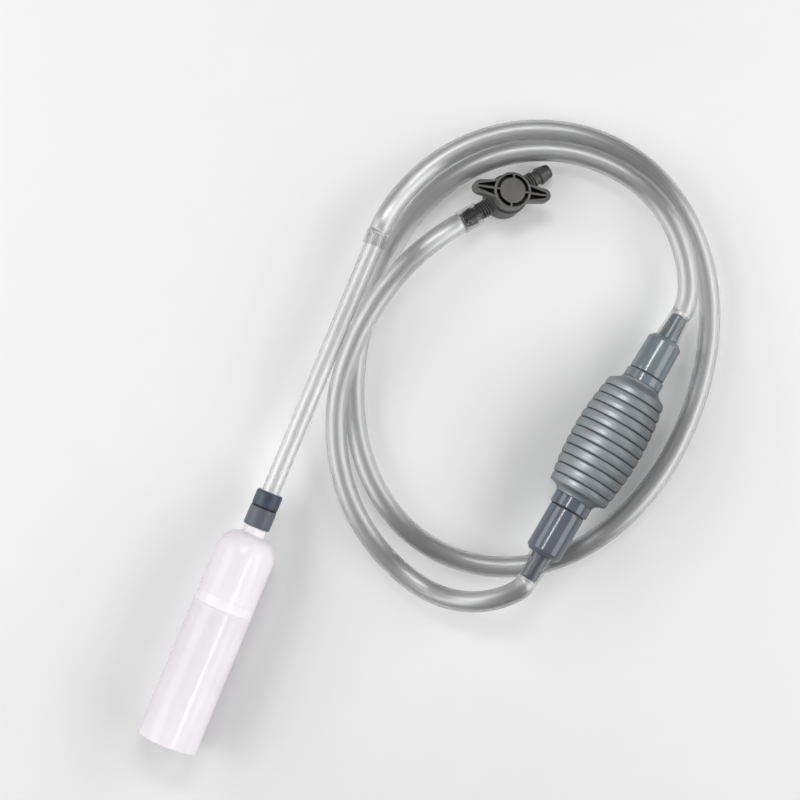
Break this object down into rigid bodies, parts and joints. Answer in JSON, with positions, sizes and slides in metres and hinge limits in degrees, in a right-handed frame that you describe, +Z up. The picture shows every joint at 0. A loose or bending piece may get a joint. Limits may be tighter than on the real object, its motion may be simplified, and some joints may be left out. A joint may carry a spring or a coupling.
{
  "type": "gravel vacuum siphon",
  "caption": "Aquarium gravel cleaner: wide clear suction tube, rigid wand, coiled clear hose, grey ribbed priming bulb with one-way valves, and a hose tap with a winged handle",
  "frame": {"origin": "centre of the laid-out siphon's plan, on the table it lies on (Z = 0)", "axes": "Z is up; the wand points from lower left (-X, -Y) at 67.4 degrees to +X, with its open mouth at the -Y end; the coil lies at +X and +Y"},
  "size_m": [0.4365, 0.4749, 0.0568],
  "materials": {
    "clear_bell": "milky clear, smooth",
    "clear_tube": "clear rigid, smooth",
    "clear_hose": "clear soft, glossy",
    "slate_plastic": "smooth moulded",
    "bulb_rubber": "soft satin",
    "black_rubber": "matte",
    "silicone": "satin",
    "dark_plastic": "moulded, fine grain"
  },
  "bodies": {
    "siphon_body": {"bell_dome": "clear_bell", "neck_collar": "slate_plastic", "neck_seal": "black_rubber", "tube_grip": "black_rubber", "extension_tube": "clear_tube", "suction_hose": "clear_hose", "inlet_spigot_cap": "slate_plastic", "inlet_gasket": "black_rubber", "inlet_valve_body": "slate_plastic", "bulb_bellows": "bulb_rubber", "discharge_hose": "clear_hose", "tap_body": "dark_plastic", "plug_retainer": "dark_plastic"},
    "wide_tube": {"gravel_tube": "clear_bell"},
    "nut": {"neck_nut": "slate_plastic"},
    "outlet_end": {"outlet_valve_body": "slate_plastic", "outlet_gasket": "black_rubber", "outlet_spigot_cap": "slate_plastic"},
    "outlet_check": {"outlet_check_disc": "silicone"},
    "inlet_check": {"inlet_check_disc": "silicone"},
    "tap_rotor": {"tap_handle": "dark_plastic", "tap_plug": "dark_plastic", "plug_o_rings": "black_rubber"}
  },
  "joints": [
    {"name": "gravel_tube_pull", "type": "slide", "parent": "siphon_body", "child": "wide_tube", "axis": [-0.3843, -0.9232, 0], "range_m": [0, 0.0068]},
    {"name": "neck_nut_turn", "type": "hinge", "parent": "siphon_body", "child": "nut", "pos_m": [-0.12138, -0.04775, 0.02352], "axis": [0.3843, 0.9232, 0], "range_deg": [0, 360]},
    {"name": "bulb_squeeze", "type": "slide", "parent": "siphon_body", "child": "outlet_end", "axis": [0.5048, 0.8604, -0.0698], "range_m": [0, 0.022], "deforming": ["bulb_bellows", "discharge_hose"]},
    {"name": "outlet_check_lift", "type": "slide", "parent": "outlet_end", "child": "outlet_check", "axis": [-0.5048, -0.8604, 0.0698], "range_m": [0, 0.0025]},
    {"name": "inlet_check_lift", "type": "slide", "parent": "siphon_body", "child": "inlet_check", "axis": [-0.5048, -0.8604, 0.0698], "range_m": [0, 0.0025]},
    {"name": "tap_turn", "type": "hinge", "parent": "siphon_body", "child": "tap_rotor", "pos_m": [0.0567, 0.1793, 0.0162], "axis": [0.2063, 0.1264, 0.9703], "range_deg": [-51.8, 38.2]}
  ]
}
